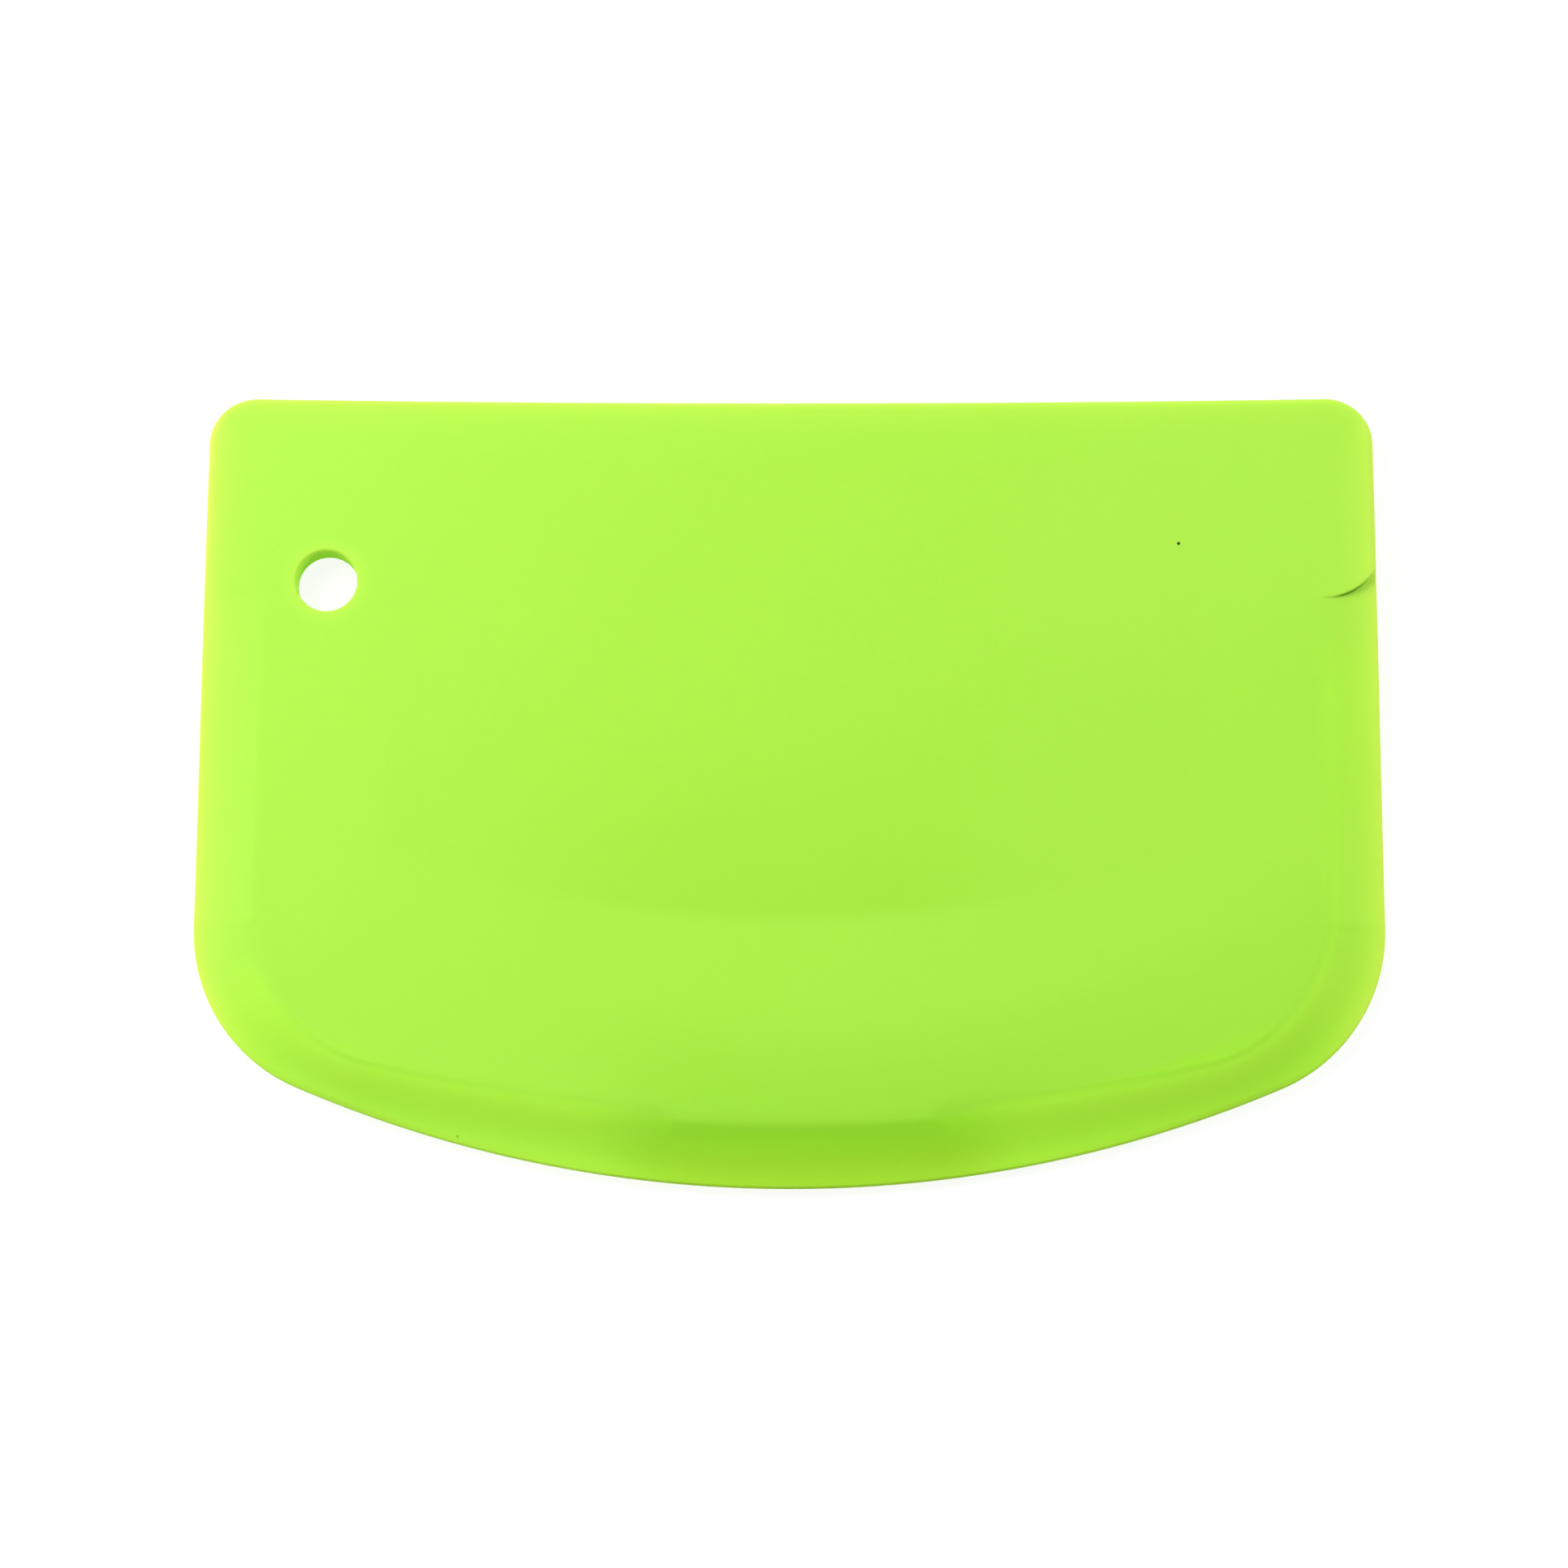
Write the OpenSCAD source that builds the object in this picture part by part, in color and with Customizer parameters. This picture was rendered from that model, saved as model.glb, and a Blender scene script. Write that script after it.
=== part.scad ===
/* [Plate] */
// Width across the widest part of the sides
body_w = 140; // [120:1:170]
// Height from the lowest point of the working edge to the top corners
body_h = 94.5; // [84:0.5:115]
// Thickness of the panel
plate_t = 3.5; // [3:0.1:5]
// Lean of each side towards the top, in degrees
side_lean = 0.57; // [0.1:0.01:2]
// Radius of the shallow hollow of the top edge
top_arc_r = 4000; // [1500:50:8000]
// Radius of the two top corners in plan
top_corner_r = 5.6; // [4:0.1:9]
// Radius of the two lower corners in plan
low_corner_r = 20.3; // [16:0.1:26]
// Radius of the bowed working edge
edge_arc_r = 146.5; // [125:0.5:200]
// Rounding of the front edge along the top and the upper sides
rim_r = 0.8; // [0.4:0.1:1.4]

/* [Bevel] */
// Width of the bevel at the middle of the working edge
bevel_mid_w = 7.1; // [6:0.1:9]
// Width of the bevel along the sides
bevel_side_w = 5.5; // [4.5:0.1:6.5]
// Radius of the crease along the working edge, flatter than the edge itself
crease_arc_r = 200; // [180:1:260]
// Radius of the crease round the lower corners
crease_corner_r = 20; // [17:0.5:24]
// Thickness of the lip that the bevel runs out to
lip_t = 1.2; // [0.8:0.1:1.6]
// Radius of the shoulders where the bevel starts
shoulder_r = 6.8; // [6.4:0.1:8]
// Distance from the side in to the centre of the shoulder's arc
shoulder_in = 6.1; // [5.6:0.1:6.3]
// Distance from the top corners down to the foot of the shoulders
shoulder_drop = 24.6; // [18:0.1:32]

/* [Hanging hole] */
// Diameter of the hanging hole
hole_d = 7.25; // [5:0.25:10]
// Distance from the left side's widest line to the centre of the hole
hole_side = 15; // [12:0.5:18]
// Distance from the top corners down to the centre of the hole
hole_drop = 22.5; // [14:0.5:28]

/* [Stiffener] */
// Thickness of the stiff inner plate
core_t = 1.2; // [0.8:0.1:1.6]
// Soft material left between the hanging hole and the inner plate
hole_wall = 3.4; // [2:0.1:6]
// Distance from the top corners down to the inner plate
core_top = 8; // [5:0.5:12]
// Distance from the lowest point of the working edge up to the inner plate
core_low = 31.1; // [24:0.1:38]
// Radius of the inner plate's lower edge
core_arc_r = 138; // [110:1:200]
// Radius of the inner plate's corners
core_corner_r = 3; // [1:0.5:6]
// Clearance round the inner plate's rim
core_gap = 0.1; // [0.05:0.05:0.3]

/* [Hidden] */
$fn = 360;

// Facets of the very long arc of the top edge
far_fn = 2880;
// How far a cutter runs past the faces that it cuts
over = 1;
// How far one arc runs past the next where the two would only touch
meet = 0.005;

// Ends of the plate along Y, with the origin at the middle of its footprint
y_top = body_h / 2;
y_low = -body_h / 2;

// Right lower corner: its centre, and the turn from the working edge's centre down to it
edge_y = y_low + edge_arc_r;
low_x = body_w / 2 - low_corner_r;
low_turn = acos(low_x / (edge_arc_r - low_corner_r));
low_y = edge_y - (edge_arc_r - low_corner_r) * sin(low_turn);

// Right side: its direction outwards, its distance from the origin and its length
side_n = [cos(side_lean), sin(side_lean)];
side_c = side_n * [low_x, low_y] + low_corner_r;
top_y = y_top - top_corner_r;
top_x = (side_c - top_corner_r - top_y * side_n[1]) / side_n[0];
side_run = (top_y - low_y) * side_n[0] - (top_x - low_x) * side_n[1];

// Turn from straight down to the right end of the top edge's arc
top_turn = asin(top_x / (top_arc_r + top_corner_r));

// Crease: the centre of its arc, and the turn from there down to its right corner's centre
crease_y = y_low + bevel_mid_w + crease_arc_r;
crease_reach = crease_arc_r - crease_corner_r;
crease_c = side_c - bevel_side_w - crease_corner_r;
crease_turn = acos((crease_c - crease_y * side_n[1]) / crease_reach) - side_lean;

// Hollow of the bevel: its depth and the radius of its section
cove_d = plate_t - lip_t;
cove_r = (bevel_mid_w * bevel_mid_w + cove_d * cove_d) / (2 * cove_d);

// Centre of the right shoulder's arc
shoulder_y = y_top - shoulder_drop + shoulder_r;
shoulder_x = (side_c - shoulder_in - shoulder_y * side_n[1]) / side_n[0];

// Centre of the hanging hole
hole_x = hole_side - body_w / 2;
hole_y = y_top - hole_drop;

// Inner plate: its corners' centres, its arc and its height in the panel
core_x = body_w / 2 - hole_side - hole_d / 2 - hole_wall - core_corner_r;
core_arc_y = y_low + core_low + core_arc_r;
core_turn = acos(core_x / (core_arc_r - core_corner_r));
core_low_y = core_arc_y - (core_arc_r - core_corner_r) * sin(core_turn);
core_top_y = y_top - core_top - core_corner_r;
core_run = core_top_y - core_low_y;
core_z = (plate_t - core_t) / 2;

module both_sides() {
    children();
    mirror([1, 0, 0]) children();
}

// Places children at the right corner's centre, turned towards where the bowed arc meets the corner's
module arc_end(arc_y, turn, reach) {
    translate([0, arc_y, 0])
        rotate([0, 0, -turn])
            translate([reach, 0, 0]) children();
}

// Places children at the right lower corner's centre, turned square to the side
module side_frame() {
    arc_end(edge_y, low_turn, edge_arc_r - low_corner_r)
        rotate([0, 0, low_turn + side_lean]) children();
}

// Places children at the right top corner's centre, turned the same way
module top_frame() {
    side_frame()
        translate([low_corner_r - top_corner_r, side_run, 0]) children();
}

// Places children there, turned towards the centre of the top edge's arc
module tip_frame() {
    top_frame()
        rotate([0, 0, 90 + top_turn - side_lean]) children();
}

// Places children at the centre of the crease's right corner, turned square to the side
module crease_frame() {
    arc_end(crease_y, crease_turn, crease_reach)
        rotate([0, 0, crease_turn + side_lean]) children();
}

// Keeps what lies to the right of X = 0
module right_half() {
    intersection() {
        children();
        translate([0, y_low - over, 0]) cube([body_w, body_h + 2 * over, plate_t + 2 * over]);
    }
}

// Right half of what an arc that bows downwards bounds, as far as its right corner's centre
module bowed_end(arc_y, arc_r, turn, corner_r) {
    intersection() {
        translate([0, arc_y]) circle(r = arc_r);
        arc_end(arc_y, turn, arc_r - corner_r)
            translate([-arc_r / 10, -arc_r]) square(arc_r);
        translate([0, arc_y - arc_r - over]) square(arc_r);
    }
}

// Right half of the plate's plan, drawn in by inset all round
module plate_half(inset) {
    low_r = low_corner_r - inset;
    top_r = top_corner_r - inset;
    bowed_end(edge_y, edge_arc_r - inset, low_turn, low_r);
    polygon([[0, y_low + inset + over], [low_x, low_y], [top_x, top_y], [0, top_y]]);
    side_frame() circle(r = low_r + meet);
    side_frame() square([low_r, side_run]);
    top_frame() circle(r = top_r);
    intersection() {
        tip_frame()
            difference() {
                square([2 * top_corner_r, body_w]);
                translate([top_corner_r + top_arc_r, 0]) circle(r = top_arc_r + inset, $fn = far_fn);
            }
        translate([0, y_low]) square([body_w, body_h + over]);
    }
}

// Plan of the plate, drawn in by inset all round
module plate_plan(inset) {
    both_sides() plate_half(inset);
}

// Section of the rounded front edge, with a tongue that runs on into the plate
module rim_section() {
    intersection() {
        circle(r = rim_r);
        square(rim_r);
    }
    translate([-over, 0]) square([over, rim_r]);
}

// Right half of the rounded front edge: the upper side, the top corner and the top
module rim_half() {
    top_frame()
        rotate([90, 0, 0])
            linear_extrude(height = shoulder_drop)
                translate([top_corner_r - rim_r, 0]) rim_section();
    intersection() {
        top_frame()
            rotate_extrude(angle = 100)
                translate([top_corner_r - rim_r, 0]) rim_section();
        tip_frame()
            translate([-body_w, -body_w, 0]) cube([2 * body_w, body_w, plate_t]);
    }
    right_half()
        tip_frame()
            translate([top_corner_r + top_arc_r, 0, 0])
                mirror([1, 0, 0])
                    rotate_extrude(angle = 2 * top_turn, $fn = far_fn)
                        translate([top_arc_r + rim_r, 0]) mirror([1, 0]) rim_section();
}

// Plate before the bevel is cut
module plate_blank() {
    linear_extrude(height = plate_t - rim_r) plate_plan(0);
    translate([0, 0, plate_t - rim_r]) {
        linear_extrude(height = rim_r) plate_plan(rim_r);
        both_sides() rim_half();
    }
}

// Section of what the bevel takes away, from the crease outwards
module cove_section() {
    reach = bevel_mid_w + low_corner_r / 2;
    intersection() {
        translate([bevel_mid_w, lip_t]) translate([0, cove_r]) circle(r = cove_r);
        translate([-over, 0]) square([bevel_mid_w + over, plate_t + over]);
    }
    translate([bevel_mid_w, lip_t]) square([reach - bevel_mid_w, cove_d + over]);
}

// Right half of the bevel along the bowed working edge
module bevel_bow() {
    right_half()
        arc_end(crease_y, crease_turn, 0)
            mirror([0, 1, 0])
                rotate_extrude(angle = 95 - crease_turn)
                    translate([crease_arc_r, 0]) cove_section();
}

// Bevel round the right lower corner, cut off where the side's begins
module bevel_corner() {
    intersection() {
        arc_end(crease_y, crease_turn, crease_reach)
            rotate_extrude(angle = crease_turn + side_lean + 5)
                translate([crease_corner_r, 0]) cove_section();
        crease_frame()
            translate([0, -body_w, 0]) cube([body_w, body_w, plate_t + 2 * over]);
    }
}

// Bevel up the right side, which starts at the shoulder's arc
module bevel_side() {
    difference() {
        crease_frame()
            translate([-meet, -over, 0])
                rotate([90, 0, 0])
                    mirror([0, 0, 1])
                        linear_extrude(height = body_h)
                            translate([crease_corner_r, 0]) cove_section();
        translate([shoulder_x, shoulder_y, 0])
            cylinder(r = shoulder_r, h = plate_t + 2 * over);
        translate([shoulder_x - shoulder_r, shoulder_y, 0])
            cube([body_w, body_h, plate_t + 2 * over]);
    }
}

// Places children at the centre of the inner plate's right lower corner
module core_frame() {
    arc_end(core_arc_y, core_turn, core_arc_r - core_corner_r)
        rotate([0, 0, core_turn]) children();
}

// Right half of the inner plate's plan, grown by gap all round
module core_half(gap) {
    r = core_corner_r + gap;
    bowed_end(core_arc_y, core_arc_r + gap, core_turn, r);
    polygon([[0, y_low + core_low + over], [core_x, core_low_y], [core_x, core_top_y], [0, core_top_y]]);
    core_frame() {
        circle(r = r + meet);
        square([r, core_run]);
        translate([0, core_run]) circle(r = r);
    }
    intersection() {
        core_frame()
            translate([-body_w / 2, core_run - over]) square([body_w / 2, r + over]);
        translate([0, y_low]) square([body_w, body_h]);
    }
}

// Plan of the inner plate, grown by gap all round
module core_plan(gap) {
    both_sides() core_half(gap);
}

// Soft lime green body, moulded in one piece round the inner plate
module silicone_body() {
    color([0.68, 0.93, 0.29])
        difference() {
            plate_blank();
            both_sides() bevel_bow();
            both_sides() bevel_corner();
            both_sides() bevel_side();
            translate([hole_x, hole_y, -over])
                cylinder(d = hole_d, h = plate_t + 2 * over);
            translate([0, 0, core_z])
                linear_extrude(height = core_t) core_plan(core_gap);
        }
}

// Stiff plate sealed inside the body, which keeps the panel flat
module stiffener_core() {
    color([0.86, 0.87, 0.84])
        translate([0, 0, core_z])
            linear_extrude(height = core_t) core_plan(0);
}

silicone_body();
stiffener_core();
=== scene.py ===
import math

import bmesh
import bpy
from mathutils import Matrix, Vector


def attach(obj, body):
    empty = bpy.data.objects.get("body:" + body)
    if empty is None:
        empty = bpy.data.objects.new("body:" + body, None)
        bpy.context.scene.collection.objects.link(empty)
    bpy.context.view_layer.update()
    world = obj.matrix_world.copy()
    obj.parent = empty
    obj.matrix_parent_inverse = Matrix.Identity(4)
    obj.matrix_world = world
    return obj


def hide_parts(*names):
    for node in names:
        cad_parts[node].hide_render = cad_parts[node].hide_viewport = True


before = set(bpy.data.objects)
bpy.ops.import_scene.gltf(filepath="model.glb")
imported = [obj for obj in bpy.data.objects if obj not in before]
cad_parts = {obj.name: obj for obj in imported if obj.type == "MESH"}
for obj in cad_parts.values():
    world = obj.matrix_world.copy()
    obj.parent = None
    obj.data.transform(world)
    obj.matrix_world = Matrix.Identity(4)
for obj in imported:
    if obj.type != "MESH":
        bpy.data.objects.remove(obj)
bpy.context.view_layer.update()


# Soft body: one compression-moulded piece of lime green silicone rubber. Its bowed working edge and its
# sides run out to a thin lip over a hollow bevel, and it has two shoulders and a hanging hole. Its sizes
# are in millimetres until the finished mesh is scaled to metres.
HALF_WIDTH = 70.0
LOW = -47.25
TOP = 47.25
THICK = 3.5
BOW_R = 146.5
LOW_R = 20.3
TOP_R = 5.6
TOP_EDGE_R = 4000.0
LEAN = math.radians(0.57)

# The right half of its outline is a bow, a lower corner, a leaning side, a top corner and a slightly
# hollow top edge, each tangent to the next
side_out = Vector((math.cos(LEAN), math.sin(LEAN)))
side_up = Vector((-math.sin(LEAN), math.cos(LEAN)))
bow_centre = Vector((0.0, LOW + BOW_R))
low_x = HALF_WIDTH - LOW_R
bow_turn = math.acos(low_x / (BOW_R - LOW_R))
low_centre = Vector((low_x, bow_centre.y - (BOW_R - LOW_R) * math.sin(bow_turn)))
side_reach = side_out.dot(low_centre) + LOW_R
top_y = TOP - TOP_R
top_centre = Vector(((side_reach - TOP_R - top_y * side_out.y) / side_out.x, top_y))
side_length = side_up.dot(top_centre - low_centre)
top_turn = math.asin(top_centre.x / (TOP_EDGE_R + TOP_R))
top_edge_centre = Vector((0.0, top_y + (TOP_EDGE_R + TOP_R) * math.cos(top_turn)))

# The hollow bevel is an arc in section, and the crease that bounds it is flatter than the working edge
CREASE_R = 200.0
CREASE_CORNER_R = 20.0
BEVEL_MIDDLE = 7.1
BEVEL_SIDE = 5.5
LIP = 1.2
crease_reach = CREASE_R - CREASE_CORNER_R
crease_centre = Vector((0.0, LOW + BEVEL_MIDDLE + CREASE_R))
crease_side = side_reach - BEVEL_SIDE - CREASE_CORNER_R
crease_turn = math.acos((crease_side - crease_centre.y * side_out.y) / crease_reach) - LEAN
crease_corner = crease_centre + crease_reach * Vector((math.cos(crease_turn), -math.sin(crease_turn)))
hollow_r = (BEVEL_MIDDLE**2 + (THICK - LIP) ** 2) / (2 * (THICK - LIP))

# A shoulder ends the bevel on each side. In plan it is an arc, its centre measured in from the side
SHOULDER_R = 6.8
SHOULDER_IN = 6.1
SHOULDER_DROP = 24.6
shoulder_y = TOP - SHOULDER_DROP + SHOULDER_R
shoulder_rise = math.sqrt(SHOULDER_R**2 - SHOULDER_IN**2)
shoulder_at = (shoulder_y - shoulder_rise - low_centre.y) / side_up.y

# Stations stand along the outline, close together at the shoulder, where the form turns sharply
BOW_STEPS = 76
CORNER_STEPS = 54
BELOW_STEPS = 55
ABOVE_STEPS = 18
TOP_CORNER_STEPS = 40
TOP_STEPS = 76
FROM_SHOULDER = (0.03, 0.07, 0.12, 0.18, 0.26, 0.36, 0.5, 0.7, 0.95, 1.3, 1.7, 2.2, 2.8)
BELOW_GAP = 0.7
SAME_PLACE = 0.001
body = bmesh.new()
station = body.verts.layers.int.new("station")


def swept(tip, centre, angle, steps):
    """Sweeps a vertex round a centre in plan, and returns the end of its path."""
    middle = (centre.x, centre.y, 0)
    made = bmesh.ops.spin(body, geom=[tip], cent=middle, axis=(0, 0, 1), angle=angle, steps=steps)
    return next(part for part in made["geom_last"] if isinstance(part, bmesh.types.BMVert))


# One vertex is swept round the right half of the outline, which is then mirrored
tip = swept(body.verts.new((0, LOW, 0)), bow_centre, math.pi / 2 - bow_turn, BOW_STEPS)
tip = swept(tip, low_centre, bow_turn + LEAN, CORNER_STEPS)
at_shoulder = [shoulder_at - gap for gap in reversed(FROM_SHOULDER)] + [shoulder_at]
at_shoulder += [shoulder_at + gap for gap in FROM_SHOULDER]
below = at_shoulder[0] - BELOW_GAP
above = side_length - at_shoulder[-1]
stops = [below * step / BELOW_STEPS for step in range(1, BELOW_STEPS + 1)] + at_shoulder
stops += [at_shoulder[-1] + above * step / ABOVE_STEPS for step in range(1, ABOVE_STEPS + 1)]
for here, there in zip([0.0] + stops, stops):
    tip = bmesh.ops.extrude_vert_indiv(body, verts=[tip])["verts"][0]
    tip.co += (there - here) * side_up.to_3d()
tip = swept(tip, top_centre, math.pi / 2 + top_turn - LEAN, TOP_CORNER_STEPS)
swept(tip, top_edge_centre, -top_turn, TOP_STEPS)
bmesh.ops.mirror(body, geom=body.verts[:] + body.edges[:], merge_dist=SAME_PLACE, axis="X")

# How far past the bow's end its angle still counts as the bow, against rounding
ANGLE_SLACK = 1e-5


def outward(point):
    """The outline's direction outwards at a point of its right half."""
    bow = point - bow_centre
    if point.y < low_centre.y and math.atan2(bow.y, bow.x) < -bow_turn + ANGLE_SLACK:
        return bow.normalized()
    if side_up.dot(point - low_centre) < 0:
        return (point - low_centre).normalized()
    corner = point - top_centre
    if side_up.dot(corner) < 0:
        return side_out
    if math.atan2(corner.y, corner.x) < math.pi / 2 + top_turn:
        return corner.normalized()
    return (top_edge_centre - point).normalized()


def bevel_width(point, out):
    """How far in the crease lies, straight in from a point of the outline's right half."""
    for centre, radius in ((crease_centre, CREASE_R), (crease_corner, CREASE_CORNER_R)):
        offset = point - centre
        along = offset.dot(out)
        width = along - math.sqrt(along**2 - offset.dot(offset) + radius**2)
        hit = math.atan2(offset.y - width * out.y, offset.x - width * out.x)
        if (centre is crease_centre) == (hit < -crease_turn):
            return width if hit < LEAN else BEVEL_SIDE
    return BEVEL_SIDE


def ramp(x, low, high):
    """A smooth step from 0 to 1, as x goes from low to high."""
    x = min(max((x - low) / (high - low), 0.0), 1.0)
    return x * x * (3 - 2 * x)


# Each shoulder rises over its own length, sharp on the right and soft on the left, and the bevel gets
# shallower by a share of its depth on the way up to it. The shoulder's arc in plan dies out beside it
RISE_RIGHT = 0.09
RISE_LEFT = 1.5
SHALLOW_RIGHT = 0.58
SHALLOW_LEFT = 0.68
BENT_REACH = 11.0

# Above the shoulders the rings over the front draw together, to fit inside the top corners
DRAWN_IN = 2.1
DRAWN_ALONG = (1.0, 13.0)

# The crease is crisp only in the middle of the working edge, and softens from there to both sides
MIDDLE_X = 2.0
CRISP_TO_SOFT = (14.5, 18.5)
CRISP_CREASE = 0.33
SOFT_CREASE = 0.85

# What each station needs to place its vertices on every ring
stations = []
for number, vertex in enumerate(body.verts):
    vertex[station] = number
    turned = -1.0 if vertex.co.x < 0 else 1.0
    point = Vector((abs(vertex.co.x), vertex.co.y))
    out = outward(point)
    up = side_up.dot(point - low_centre)
    past = up - shoulder_at
    rise = RISE_RIGHT if turned > 0 else RISE_LEFT
    shallow = SHALLOW_RIGHT if turned > 0 else SHALLOW_LEFT
    if up > 0:
        raised = 0.5 + 0.5 * math.tanh(past / rise)
        width = BEVEL_SIDE - DRAWN_IN * ramp(past, *DRAWN_ALONG)
        depth = 1 - shallow * ramp(up, 0.0, shoulder_at)
        bent = 1 - ramp(abs(past), 0.0, BENT_REACH)
    else:
        raised = 0.0
        width = bevel_width(point, out)
        depth = 1.0
        bent = 0.0
    soft = ramp(abs(vertex.co.x - MIDDLE_X), *CRISP_TO_SOFT) if point.y < low_centre.y else 1.0
    softness = CRISP_CREASE + (SOFT_CREASE - CRISP_CREASE) * soft
    stations.append((point, out, turned, width, raised, softness, bent, depth))

# The outline is extruded through rings that round the back edge, go up the wall, round the lip or the
# front rim, and go in over the bevel at shares of its width, which crowd together at the crease. The last
# three rings lie flat. The crease's rounding no longer shows past BLEND_ENDS times its softness
BACK_EDGE = 0.15
LIP_EDGE = 0.25
RIM_EDGE = 0.8
BACK_RINGS = 4
EDGE_RINGS = 7
SHARES = (
    0.08, 0.13, 0.2, 0.28, 0.37, 0.46, 0.55, 0.63, 0.7, 0.76, 0.82, 0.87, 0.91, 0.94, 0.96, 0.975, 0.988,
    1.0, 1.012, 1.027, 1.045, 1.07, 1.1, 1.14, 1.19, 1.25, 1.32, 1.4, 1.48,
)
FLATTENS = (SHARES[-3] - 0.15, SHARES[-3])
BLEND_ENDS = 30


def hollow_height(from_crease):
    """The hollow's height at a distance outside the crease."""
    from_lip = BEVEL_MIDDLE - min(from_crease, BEVEL_MIDDLE)
    return LIP + hollow_r - math.sqrt(hollow_r**2 - from_lip**2)


def softened(from_crease, softness):
    """A distance outside the crease that eases to 0 inside it, so that the crease is round."""
    beyond = from_crease / softness
    return softness * math.log1p(math.exp(beyond)) if beyond < BLEND_ENDS else from_crease


def placed(vertex, ring):
    """Moves a vertex to its station's place on a ring."""
    point, out, turned, width, raised, softness, bent, depth = stations[vertex[station]]
    edge = LIP_EDGE + (RIM_EDGE - LIP_EDGE) * raised
    lip_height = THICK - (THICK - hollow_height(width)) * depth
    wall = (lip_height - LIP_EDGE) * (1 - raised) + (THICK - RIM_EDGE) * raised
    if ring < BACK_RINGS:
        angle = ring * math.pi / (2 * (BACK_RINGS - 1))
        inwards = BACK_EDGE * (1 - math.sin(angle))
        height = BACK_EDGE * (1 - math.cos(angle))
    elif ring < BACK_RINGS + EDGE_RINGS:
        angle = (ring - BACK_RINGS) * math.pi / (2 * (EDGE_RINGS - 1))
        inwards = edge * (1 - math.cos(angle))
        height = wall + edge * math.sin(angle)
    else:
        share = SHARES[ring - BACK_RINGS - EDGE_RINGS]
        beveled = share * width
        square = RIM_EDGE + (SHARES[-1] * width - RIM_EDGE) * share / SHARES[-1]
        inwards = beveled * (1 - raised) + square * raised
        fall = THICK - hollow_height(softened(width - beveled, softness))
        height = THICK - fall * depth * (1 - raised) * (1 - ramp(share, *FLATTENS))
    down = math.sqrt(SHOULDER_R**2 - max(SHOULDER_IN - inwards, 0.0) ** 2) - shoulder_rise
    place = point - inwards * out - down * bent * side_up
    vertex.co = (turned * place.x, place.y, min(height, THICK))


def grown(edges):
    """Extrudes a rim, and returns the vertices and the edges of the new rim."""
    made = bmesh.ops.extrude_edge_only(body, edges=edges)["geom"]
    verts = [part for part in made if isinstance(part, bmesh.types.BMVert)]
    new = set(verts)
    rim = [part for part in made if isinstance(part, bmesh.types.BMEdge) and set(part.verts) <= new]
    return verts, rim


back_rim = body.edges[:]
for vertex in body.verts:
    placed(vertex, 0)
front_rim = back_rim
for ring in range(1, BACK_RINGS + EDGE_RINGS + len(SHARES)):
    verts, front_rim = grown(front_rim)
    for vertex in verts:
        placed(vertex, ring)

# The back is flat, with a few rings near its edge that carry the colour there
BACK_INWARDS = (0.5, 1.2, 2.4, 4.2)
for inwards in BACK_INWARDS:
    verts, back_rim = grown(back_rim)
    for vertex in verts:
        point, out, turned = stations[vertex[station]][:3]
        moved = point - inwards * out
        vertex.co = (turned * moved.x, moved.y, 0.0)

# The hanging hole is in the left top corner, its edges a little rounded by the mould. Rings of vertices up
# its wall and round it, in front and behind, carry the colour there
HOLE_SIDE = 15.0
HOLE_DROP = 22.5
HOLE = Vector((HOLE_SIDE - HALF_WIDTH, TOP - HOLE_DROP, 0.0))
HOLE_R = 3.625
HOLE_EDGE = 0.35
HOLE_SIDES = 128
WALL_HEIGHTS = (0.9, 1.75, 2.5)
ROUND_FRONT = (0.7, 1.2, 2.1)
ROUND_BACK = (0.8, 2.0)
at_hole = Matrix.Translation(HOLE)
bore = bmesh.ops.create_circle(body, cap_ends=False, segments=HOLE_SIDES, radius=HOLE_R, matrix=at_hole)
bore_verts = set(bore["verts"])
hole_back = [edge for edge in body.edges if set(edge.verts) <= bore_verts]


def hole_ring(verts, radius, height):
    """Moves the vertices of one ring to a radius round the hole and a height."""
    for vertex in verts:
        flat = (vertex.co - HOLE).to_2d().normalized() * radius
        vertex.co = HOLE + Vector((flat.x, flat.y, height))


quarter = [math.radians(x) for x in (0, 22.5, 45, 67.5, 90)]
wall = [(HOLE_R + BACK_EDGE * (1 - math.sin(a)), BACK_EDGE * (1 - math.cos(a))) for a in quarter]
wall += [(HOLE_R, height) for height in WALL_HEIGHTS]
wall += [(HOLE_R + HOLE_EDGE * (1 - math.cos(a)), THICK - HOLE_EDGE * (1 - math.sin(a))) for a in quarter]
wall += [(HOLE_R + outside, THICK) for outside in ROUND_FRONT]
hole_ring(bore["verts"], *wall[0])
hole_front = hole_back
for radius, height in wall[1:]:
    verts, hole_front = grown(hole_front)
    hole_ring(verts, radius, height)
for outside in ROUND_BACK:
    verts, hole_back = grown(hole_back)
    hole_ring(verts, HOLE_R + outside, 0.0)

bmesh.ops.triangle_fill(body, use_beauty=True, edges=front_rim + hole_front)
bmesh.ops.triangle_fill(body, use_beauty=True, edges=back_rim + hole_back)
bmesh.ops.recalc_face_normals(body, faces=body.faces)

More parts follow.
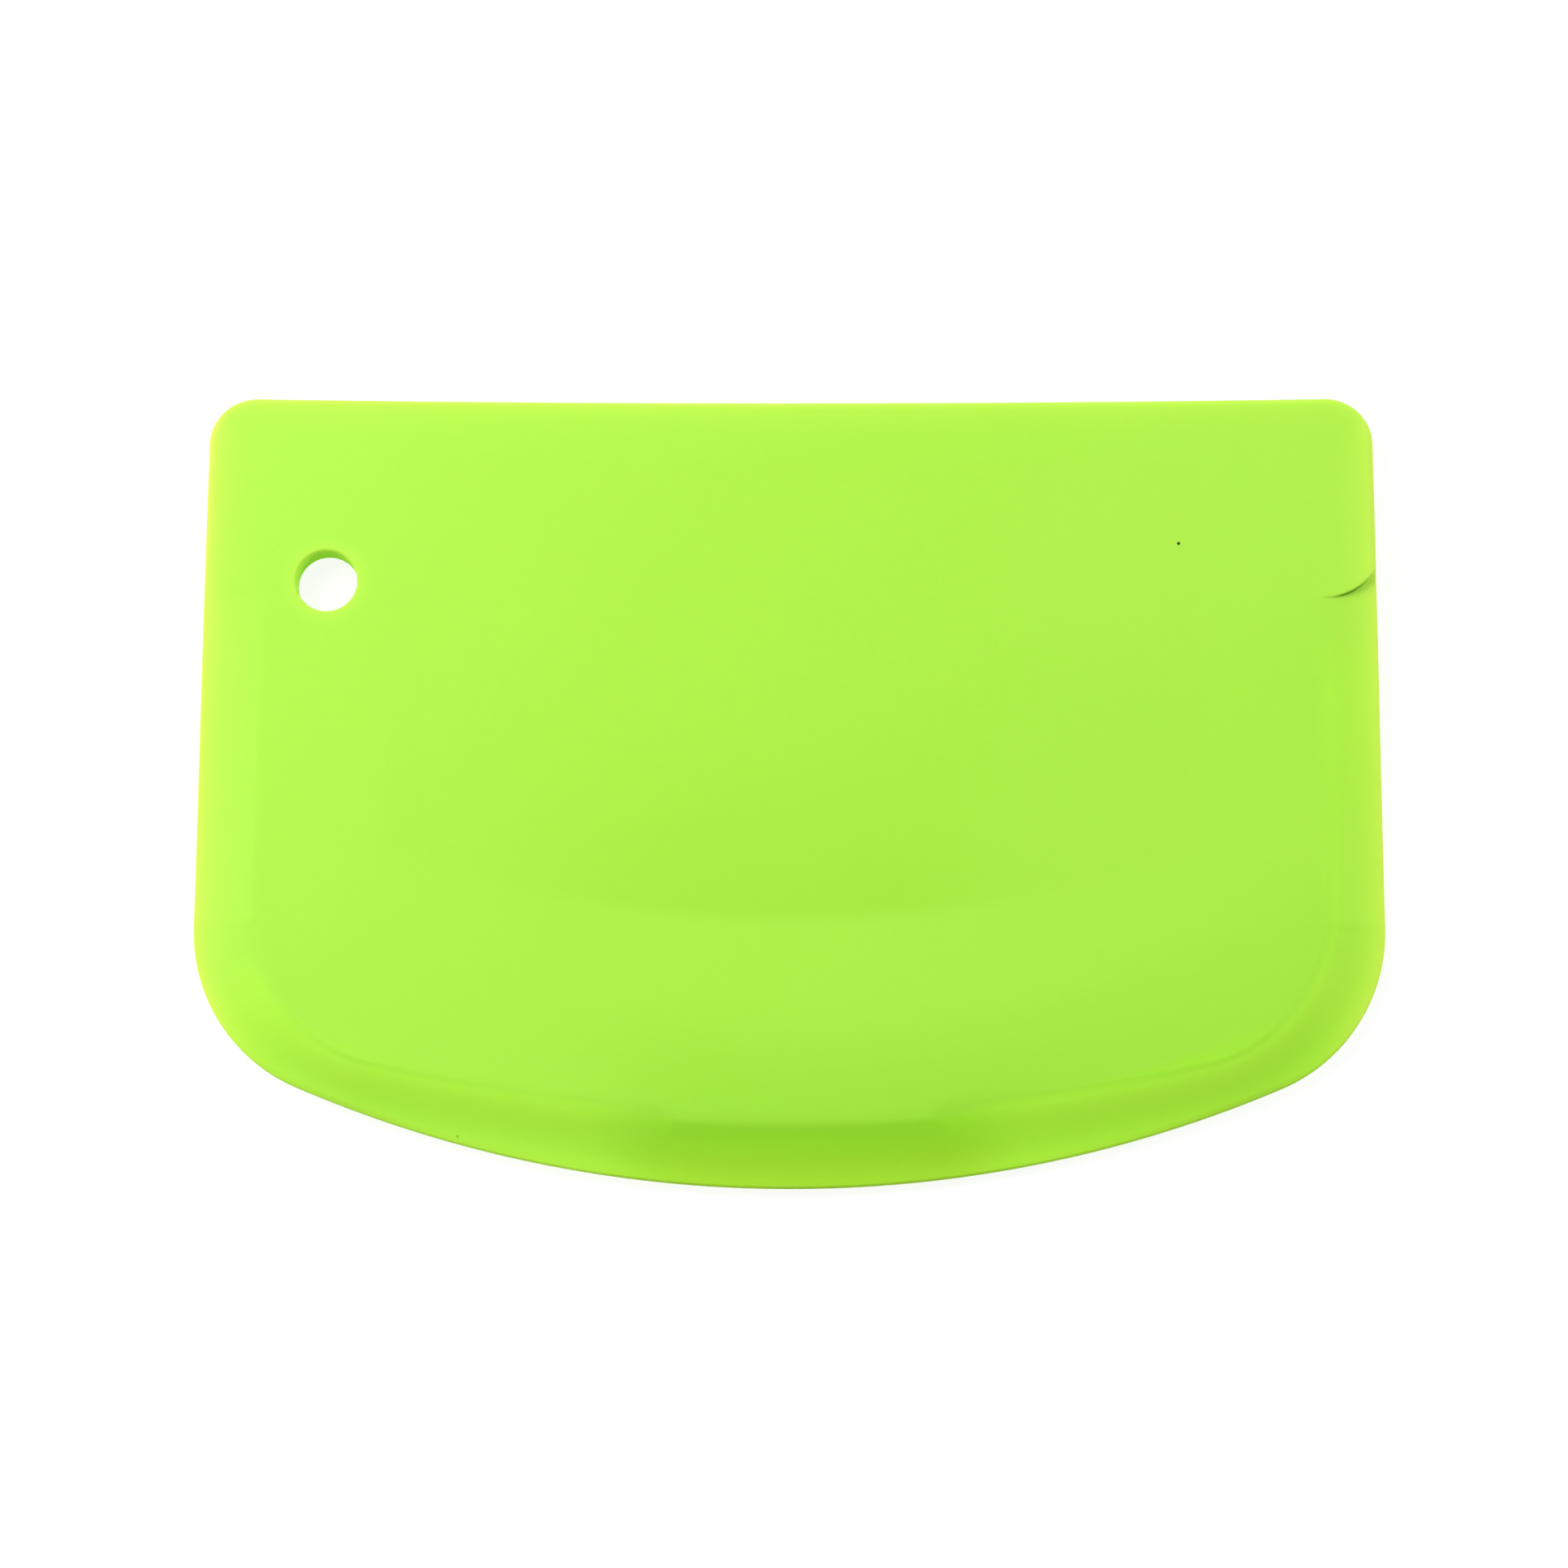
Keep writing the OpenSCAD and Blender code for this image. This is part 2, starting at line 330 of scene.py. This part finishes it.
# A painted glow stands for light that comes through at the outline and at the wall of the hole, and dies
# away inwards. It shows least along the bow, in full at the sides, by half along the top and almost in
# full near the back, and a little more on the left. Bow, sides and top are told apart by the Y of the
# outline's outward direction
HOLE_GLOW = 0.45
HOLE_GLOW_DEPTH = 0.8
HOLE_GLOW_ENDS = 2.0
GLOW_DEPTH = 1.9
BOW_GLOW = 0.15
TOP_GLOW = 0.5
BACK_GLOW = 0.9
LEFT_GLOW = 1.2
BOW_TO_SIDE = (-0.9, -0.4)
SIDE_TO_TOP = (0.3, 0.8)
BACK_TO_LIP = (0.2, 1.2)

# Away from the middle of the bow the hollow gets painted light that makes it paler: on the right up the
# side as well, on the left only round the lower corner. Along the bow and the lower corners its inner half
# gets more painted light, paler still
ABOVE_BACK = 0.1
MIDDLE_TO_ASIDE = (16.0, 28.0)
RIGHT_ENDS = (10.0, 22.0)
LEFT_PALER = 0.9
LEFT_ENDS = (-0.6, -0.2)
PALER_FROM_CREASE = (-2.4, -0.2)
INNER_FROM_CREASE = (-1.9, 0.0)
INNER_FROM_EDGE = (0.4, 0.8)
INNER_ENDS = (-0.5, -0.1)

# Painted shade darkens the fold at the foot of the right shoulder, between the edge and the crease
FOLD_FROM_EDGE = (0.0, 3.0)
FOLD_FROM_CREASE = (0.0, 2.0)
painted_glow = body.verts.layers.float.new("painted_glow")
painted_light_aside = body.verts.layers.float.new("painted_light_aside")
painted_light_inner = body.verts.layers.float.new("painted_light_inner")
painted_fold_shade = body.verts.layers.float.new("painted_fold_shade")
for vertex in body.verts:
    from_hole = (vertex.co - HOLE).to_2d().length - HOLE_R
    if from_hole < HOLE_GLOW_ENDS:
        vertex[painted_glow] = HOLE_GLOW * math.exp(-max(from_hole, 0.0) / HOLE_GLOW_DEPTH)
        continue
    point, out, turned, width, raised = stations[vertex[station]][:5]
    inwards = (point - Vector((abs(vertex.co.x), vertex.co.y))).dot(out)
    off_crease = width - inwards
    lit = BOW_GLOW + (1 - BOW_GLOW) * ramp(out.y, *BOW_TO_SIDE)
    lit = lit * (1 - (1 - TOP_GLOW) * ramp(out.y, *SIDE_TO_TOP))
    lit = max(lit, BACK_GLOW * (1 - ramp(vertex.co.z, *BACK_TO_LIP)))
    vertex[painted_glow] = math.exp(-inwards / GLOW_DEPTH) * lit * (1.0 if turned > 0 else LEFT_GLOW)
    if vertex.co.z > ABOVE_BACK:
        aside = ramp(abs(vertex.co.x - MIDDLE_X), *MIDDLE_TO_ASIDE)
        if turned > 0:
            reach = 1 - ramp(vertex.co.y, *RIGHT_ENDS)
        else:
            reach = LEFT_PALER * (1 - ramp(out.y, *LEFT_ENDS))
        vertex[painted_light_aside] = ramp(off_crease, *PALER_FROM_CREASE) * aside * reach
        inner = ramp(off_crease, *INNER_FROM_CREASE) * ramp(inwards / width, *INNER_FROM_EDGE)
        vertex[painted_light_inner] = inner * aside * (1 - ramp(out.y, *INNER_ENDS))
    if turned > 0 and vertex.co.z > LIP and off_crease > 0:
        halfway = 4 * raised * (1 - raised)
        vertex[painted_fold_shade] = halfway * ramp(inwards, *FOLD_FROM_EDGE) * ramp(off_crease, *FOLD_FROM_CREASE)

bmesh.ops.scale(body, vec=(0.001, 0.001, 0.001), verts=body.verts)
for face in body.faces:
    face.smooth = True

# The hollow that the stiff plate fills is the inner shell of the solid. It is taken over as it is, as all
# that can be reached from a vertex on its floor, and stays flat-shaded
HOLLOW_FLOOR = Vector((0, 0, 0.00115))
TOUCHING = 1e-7
shell = bmesh.new()
shell.from_mesh(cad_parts["silicone_body"].data)
bmesh.ops.remove_doubles(shell, verts=shell.verts, dist=TOUCHING)
reached = {min(shell.verts, key=lambda vertex: (vertex.co - HOLLOW_FLOOR).length)}
front = set(reached)
while front:
    front = {edge.other_vert(vertex) for vertex in front for edge in vertex.link_edges} - reached
    reached |= front
bmesh.ops.delete(shell, geom=[vertex for vertex in shell.verts if vertex not in reached], context="VERTS")
copies = {vertex: body.verts.new(vertex.co) for vertex in shell.verts}
for face in shell.faces:
    body.faces.new([copies[vertex] for vertex in face.verts])
shell.free()

body_mesh = bpy.data.meshes.new("silicone_body_skin")
body.to_mesh(body_mesh)
body.free()
soft_body = bpy.data.objects.new("silicone_skin", body_mesh)
bpy.context.scene.collection.objects.link(soft_body)


class Wire:
    """A value among a material's nodes. Sums, differences and products of wires add their Math nodes."""

    def __init__(self, tree, socket=None):
        self.tree = tree
        self.socket = socket

    def node(self, kind, settings, sockets, out=0):
        """Adds a node with its settings and the values or wires of its sockets, and returns an output."""
        made = self.tree.nodes.new(kind)
        for name, value in settings.items():
            setattr(made, name, value)
        for name, value in sockets.items():
            if isinstance(value, Wire):
                self.tree.links.new(value.socket, made.inputs[name])
            else:
                made.inputs[name].default_value = value
        return Wire(self.tree, made.outputs[out] if made.outputs else None)

    def maths(self, operation, *values):
        """Adds a Math node."""
        return self.node("ShaderNodeMath", {"operation": operation}, dict(enumerate(values)))

    def __add__(self, other):
        return self.maths("ADD", self, other)

    def __sub__(self, other):
        return self.maths("SUBTRACT", self, other)

    def __mul__(self, other):
        return self.maths("MULTIPLY", self, other)

    def __radd__(self, other):
        return self.maths("ADD", other, self)

    def __rsub__(self, other):
        return self.maths("SUBTRACT", other, self)

    def __rmul__(self, other):
        return self.maths("MULTIPLY", other, self)


def new_material(name):
    """Makes an empty material, and returns it with the wire that its nodes start from."""
    made = bpy.data.materials.new(name)
    made.use_nodes = True
    made.node_tree.nodes.clear()
    return made, Wire(made.node_tree)


def noise(place, scale, detail, roughness=0.5):
    """Noise of about 0.5 on average."""
    sockets = {"Vector": place, "Scale": scale, "Detail": detail, "Roughness": roughness}
    return place.node("ShaderNodeTexNoise", {}, sockets, "Fac")


def stepped(value, low, high):
    """A smooth step from 0 to 1, as a wire goes from low to high."""
    settings = {"interpolation_type": "SMOOTHSTEP"}
    return value.node("ShaderNodeMapRange", settings, {0: value, 1: low, 2: high})


def mixed(share, first, second):
    """A colour that goes from the first to the second, as a wire goes from 0 to 1."""
    return share.node("ShaderNodeMix", {"data_type": "RGBA"}, {0: share, 6: first, 7: second}, 2)


def bump(height, strength, distance):
    """A normal that a relief tilts, up to its distance in metres."""
    sockets = {"Strength": strength, "Distance": distance, "Height": height}
    return height.node("ShaderNodeBump", {}, sockets)


silicone, wire = new_material("lime_silicone")
place = wire.node("ShaderNodeTexCoord", {}, {}, "Object")
x, y, z = (wire.node("ShaderNodeSeparateXYZ", {}, {0: place}, axis) for axis in range(3))
off_middle = x.maths("ABSOLUTE", x)
on_front = stepped(z, 0.0001, 0.0006)


def from_point(point_x, point_y):
    """The distance from a point in plan."""
    across = x - point_x
    along = y - point_y
    squared = across * across + along * along
    return squared.maths("SQRT", squared)


def carried(name):
    """What the skin's vertices carry under a name."""
    return wire.node("ShaderNodeAttribute", {"attribute_name": name}, {}, "Fac")


# The stiff plate inside shows through above its bowed lower edge and between its sides. It is plainest in
# the middle, and fades upwards and to both sides. These places and the next are in metres
PLATE_BOW_CENTRE = (0.0, 0.12185)
PLATE_LOW_EDGE = (0.1366, 0.1388)
PLATE_SIDE = (0.0465, 0.0488)
PLATE_FADES_UP = (-0.016, 0.016)
PLATE_FADES_ASIDE = (0.010, 0.038)
LOST_ASIDE = 0.85
over_plate = 1 - stepped(from_point(*PLATE_BOW_CENTRE), *PLATE_LOW_EDGE)
over_plate = over_plate * (1 - stepped(y, *PLATE_FADES_UP))
over_plate = over_plate * (1 - LOST_ASIDE * stepped(off_middle, *PLATE_FADES_ASIDE))
over_plate = over_plate * (1 - stepped(off_middle, *PLATE_SIDE))

# Painted shade makes the panel's green deeper down to the crease. The hollow of the working edge faces
# away from the light, and painted shade makes its green deeper towards the lip. Both show in the middle
# and fade to the left, and more slowly to the right
LOWER_PANEL = (0.1235, 0.1390)
HOLLOW_STARTS = (0.1385, 0.1405)
LIP_STARTS = (0.1405, 0.1445)
LEFT_TO_MIDDLE = (-0.030, -0.006)
MIDDLE_TO_RIGHT = (0.012, 0.062)
LOST_LEFT = 0.88
LOST_RIGHT = 0.6
from_bow_centre = from_point(0.0, bow_centre.y / 1000)
middle = (1 - LOST_LEFT * (1 - stepped(x, *LEFT_TO_MIDDLE))) * on_front
middle = middle * (1 - LOST_RIGHT * stepped(x, *MIDDLE_TO_RIGHT))
painted_panel_shade = stepped(from_bow_centre, *LOWER_PANEL) * middle
painted_hollow_shade = stepped(from_bow_centre, *HOLLOW_STARTS) * middle
painted_lip_shade = stepped(from_bow_centre, *LIP_STARTS) * middle

# Two specks of dirt lie on the front, the one near the bow fainter
DARK_SPECK = (0.04614, 0.02933)
FAINT_SPECK = (-0.03846, -0.04131)
FAINTNESS = 0.4
specks = stepped(from_point(*DARK_SPECK), 0.00026, 0.00012)
specks = (specks + stepped(from_point(*FAINT_SPECK), 0.00022, 0.00008) * FAINTNESS) * on_front

# The green is slightly cloudy at random, and painted light makes it paler at the left and at the upper
# right
CLOUD_SCALE = 28.0
CLOUDY = 0.6
PALE_ALL_OVER = 0.1
PAINTED_LIGHT_SHARE = 0.5
painted_light_left = 1 - stepped(x, -0.062, -0.018)
painted_light_upper_right = stepped(x, 0.015, 0.045) * stepped(y, 0.010, 0.030)
cloud_and_painted_light = PALE_ALL_OVER + PAINTED_LIGHT_SHARE * (painted_light_left + painted_light_upper_right) + CLOUDY * (noise(place, CLOUD_SCALE, 3.0) - 0.5)

# Shades are laid over the green one after another: where, how strongly, and the colour. The plate showing
# through and the specks are the thing's own colour, and the others are painted light and shade
LIME = (0.430, 0.872, 0.062, 1)
PALE_AND_LIT_LIME = (0.456, 0.885, 0.078, 1)
shades = (
    (over_plate, 0.6, (0.382, 0.822, 0.045, 1)),
    (painted_panel_shade, 0.72, (0.350, 0.785, 0.039, 1)),
    (painted_hollow_shade, 1.0, (0.380, 0.905, 0.029, 1)),
    (painted_lip_shade, 1.0, (0.370, 0.760, 0.023, 1)),
    (carried("painted_light_aside"), 0.6, (0.470, 0.990, 0.050, 1)),
    (carried("painted_light_inner"), 0.4, (0.520, 1.000, 0.060, 1)),
    (carried("painted_glow"), 0.8, (0.700, 0.980, 0.098, 1)),
    (carried("painted_fold_shade"), 1.0, (0.110, 0.330, 0.006, 1)),
    (specks, 1.0, (0.010, 0.020, 0.010, 1)),
)
colour = mixed(cloud_and_painted_light, LIME, PALE_AND_LIT_LIME)
for where, strength, shade in shades:
    colour = mixed(where * strength, colour, shade)

# The surface is matte, with the fine skin and the finer grain of a blasted mould
SKIN_SCALE = 900.0
GRAIN_SCALE = 5200.0
skin = noise(place, SKIN_SCALE, 4.0, 0.55)
relief = noise(place, GRAIN_SCALE, 2.0, 0.6) * 0.6 + skin * 0.8
shader = wire.node(
    "ShaderNodeBsdfPrincipled",
    {},
    {
        "Base Color": colour,
        "Roughness": 0.58 + (skin - 0.5) * 0.14,
        "IOR": 1.41,
        "Specular IOR Level": 0.25,
        "Subsurface Weight": 0.25,
        "Subsurface Radius": (1.0, 1.3, 0.35),
        "Subsurface Scale": 0.0012,
        "Normal": bump(relief, 0.12, 0.00006),
    },
)
wire.node("ShaderNodeOutputMaterial", {}, {"Surface": shader})
body_mesh.materials.append(silicone)
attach(soft_body, "root")
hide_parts("silicone_body")


# Stiff plate: a flat plate of off-white plastic, laid in the mould before the silicone, which closes
# round it on all sides. Nothing of it shows but its faint outline, so it keeps its plain shape.
FLOW_SCALE = 60.0
MATTE_SCALE = 3000.0
plastic, wire = new_material("white_plastic")
place = wire.node("ShaderNodeTexCoord", {}, {}, "Object")
flow = noise(place, FLOW_SCALE, 3.0)
matte = noise(place, MATTE_SCALE, 2.0)
shader = wire.node(
    "ShaderNodeBsdfPrincipled",
    {},
    {
        "Base Color": mixed(flow, (0.70, 0.72, 0.66, 1), (0.74, 0.76, 0.70, 1)),
        "Roughness": 0.45 + flow * 0.1,
        "Normal": bump(matte, 0.1, 0.00005),
    },
)
wire.node("ShaderNodeOutputMaterial", {}, {"Surface": shader})
core_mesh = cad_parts["stiffener_core"].data
core_mesh.materials.clear()
core_mesh.materials.append(plastic)


# Studio: a white table under soft light, in a pale room. So that the back shows its own colour from
# below, the table is clear from there, and it lets the short rays of the back, which lies close over it,
# pass to the room, which is brighter below.
TABLE_REACH = 1.5
TABLE_Z = -0.0003
FROM_BACK = 0.0007
floor_mesh = bpy.data.meshes.new("table")
table = bmesh.new()
at_table = Matrix.Translation((0, 0, TABLE_Z))
bmesh.ops.create_grid(table, x_segments=1, y_segments=1, size=TABLE_REACH, matrix=at_table)
table.to_mesh(floor_mesh)
table.free()
floor = bpy.data.objects.new("table", floor_mesh)
bpy.context.scene.collection.objects.link(floor)

# To the camera the paper is three quarters a white of its own and one quarter lit, so that it looks white
# and keeps the object's shadow
GLOWING = 0.75
paper, wire = new_material("white_paper")
seen = wire.node("ShaderNodeLightPath", {}, {}, "Is Camera Ray")
plain = wire.node("ShaderNodeBsdfDiffuse", {}, {"Color": (0.92, 0.92, 0.92, 1)})
glow = wire.node("ShaderNodeEmission", {}, {"Color": (1, 1, 1, 1), "Strength": 1.12})
paper_face = wire.node("ShaderNodeMixShader", {}, {0: seen * GLOWING, 1: plain, 2: glow})
clear = wire.node("ShaderNodeBsdfTransparent", {}, {})
underside = wire.node("ShaderNodeNewGeometry", {}, {}, "Backfacing")
ray_length = wire.node("ShaderNodeLightPath", {}, {}, "Ray Length")
gone = wire.maths("MAXIMUM", underside, wire.maths("LESS_THAN", ray_length, FROM_BACK))
surface = wire.node("ShaderNodeMixShader", {}, {0: gone, 1: paper_face, 2: clear})
wire.node("ShaderNodeOutputMaterial", {}, {"Surface": surface})
floor_mesh.materials.append(paper)

# The room is white to the camera, and for everything else a plain soft light, stronger below
ROOM_LIGHT = 0.37
MORE_BELOW = 0.5
BELOW_FROM = -0.05
world = bpy.data.worlds.new("pale_room")
bpy.context.scene.world = world
world.use_nodes = True
world.node_tree.nodes.clear()
wire = Wire(world.node_tree)
seen = wire.node("ShaderNodeLightPath", {}, {}, "Is Camera Ray")
heading = wire.node("ShaderNodeTexCoord", {}, {}, "Generated")
upwards = wire.node("ShaderNodeSeparateXYZ", {}, {0: heading}, 2)
room_light = ROOM_LIGHT + wire.maths("LESS_THAN", upwards, BELOW_FROM) * MORE_BELOW
room = wire.node("ShaderNodeBackground", {}, {"Color": (1, 1, 1, 1), "Strength": room_light})
white = wire.node("ShaderNodeBackground", {}, {"Color": (1, 1, 1, 1), "Strength": 1.0})
backdrop = wire.node("ShaderNodeMixShader", {}, {0: seen, 1: room, 2: white})
wire.node("ShaderNodeOutputWorld", {}, {"Surface": backdrop})


# One lamp stands near the upper left corner, and one low at each side
LAMP_SIZE = 0.4


def lamp(name, where, power):
    """Adds a round lamp that points at the middle of the scraper."""
    light = bpy.data.lights.new(name, "AREA")
    light.shape = "DISK"
    light.size = LAMP_SIZE
    light.energy = power
    made = bpy.data.objects.new(name, light)
    made.location = where
    made.rotation_euler = Vector(where).to_track_quat("Z", "Y").to_euler()
    bpy.context.scene.collection.objects.link(made)


lamp("near", (-0.34, 0.26, 0.36), 2.2)
lamp("left", (-0.90, -0.05, 0.45), 1.7)
lamp("right", (0.86, 0.36, 0.46), 4.3)

# The camera stands where the photograph's did: 598 mm away, leaning 11 degrees towards the working edge.
# Its focal length and the middle of its lens are in pixels of the photograph
TILT = 0.19414
SWING = 0.01617
ROLL = -0.0041
DISTANCE = 0.598
FOCAL = 6227.7
LENS_MIDDLE = (972.22, 975.16)
FRAME_SIZE = 1932
SENSOR = 36.0
aim = Matrix.Rotation(ROLL, 3, "Z") @ Matrix.Rotation(-TILT, 3, "X") @ Matrix.Rotation(-SWING, 3, "Y")
turn = aim.transposed()
camera_data = bpy.data.cameras.new("camera")
camera_data.sensor_width = SENSOR
camera_data.lens = SENSOR * FOCAL / FRAME_SIZE
camera_data.shift_x = (FRAME_SIZE / 2 - LENS_MIDDLE[0]) / FRAME_SIZE
camera_data.shift_y = (LENS_MIDDLE[1] - FRAME_SIZE / 2) / FRAME_SIZE
camera = bpy.data.objects.new("camera", camera_data)
camera.matrix_world = Matrix.Translation(turn @ Vector((0, 0, DISTANCE))) @ turn.to_4x4()
bpy.context.scene.collection.objects.link(camera)
bpy.context.scene.camera = camera
bpy.context.scene.view_settings.view_transform = "Standard"
